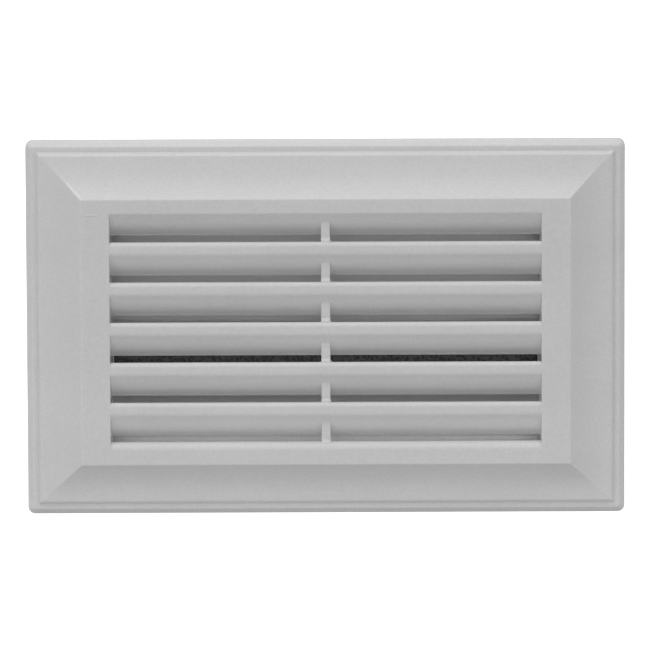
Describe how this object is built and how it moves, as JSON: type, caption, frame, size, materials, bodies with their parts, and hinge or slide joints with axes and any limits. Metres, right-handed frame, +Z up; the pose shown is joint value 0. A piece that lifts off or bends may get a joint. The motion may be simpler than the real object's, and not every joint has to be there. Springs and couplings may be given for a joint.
{
  "type": "louvred vent cover",
  "caption": "Rectangular louvred vent cover with a clip-on bevelled face, a screwed frame with a neck, and a two-blade damper with a filter behind it.",
  "frame": {"origin": "centre of the panel cut-out, on the outer face of the panel that the vent is screwed to", "axes": "+X to the right and +Z up as the face is looked at; +Y into the panel, so the louvred face looks along -Y"},
  "size_m": [0.2414, 0.0801, 0.1528],
  "materials": {
    "cover_plastic": "semi-gloss moulded, slightly translucent white",
    "frame_plastic": "satin moulded",
    "blade_plastic": "satin moulded",
    "gasket_foam": "closed-cell foam",
    "filter_foam": "open-cell reticulated foam",
    "seal_rubber": "soft matt elastomer",
    "bush_nylon": "natural nylon",
    "stainless": "drawn stainless rod",
    "spring_steel": "rolled spring strip",
    "zinc_plate": "bright zinc plating"
  },
  "bodies": {
    "frame": {"mounting_frame": "frame_plastic", "panel_gasket": "gasket_foam", "mounting_screws": "zinc_plate", "cover_clip_upper_left": "spring_steel", "cover_clip_upper_right": "spring_steel", "cover_clip_lower_left": "spring_steel", "cover_clip_lower_right": "spring_steel", "pivot_bush_upper_left": "bush_nylon", "pivot_bush_upper_right": "bush_nylon", "pivot_bush_lower_left": "bush_nylon", "pivot_bush_lower_right": "bush_nylon", "filter_pad": "filter_foam", "filter_retainer": "frame_plastic"},
    "cover": {"louvre_cover": "cover_plastic"},
    "upper_blade": {"upper_damper_blade": "blade_plastic", "upper_blade_seal": "seal_rubber", "upper_blade_rod": "stainless"},
    "lower_blade": {"lower_damper_blade": "blade_plastic", "lower_blade_seal": "seal_rubber", "lower_blade_rod": "stainless"}
  },
  "joints": [
    {"name": "cover_release", "type": "slide", "parent": "frame", "child": "cover", "axis": [0, -1, 0], "range_m": [0, 0.05]},
    {"name": "upper_blade_hinge", "type": "hinge", "parent": "frame", "child": "upper_blade", "pos_m": [0, 0.0045, 0.0479], "axis": [1, 0, 0], "range_deg": [0, 75]},
    {"name": "lower_blade_hinge", "type": "hinge", "parent": "frame", "child": "lower_blade", "pos_m": [0, 0.0045, -0.0479], "axis": [1, 0, 0], "range_deg": [-15, 60]}
  ]
}
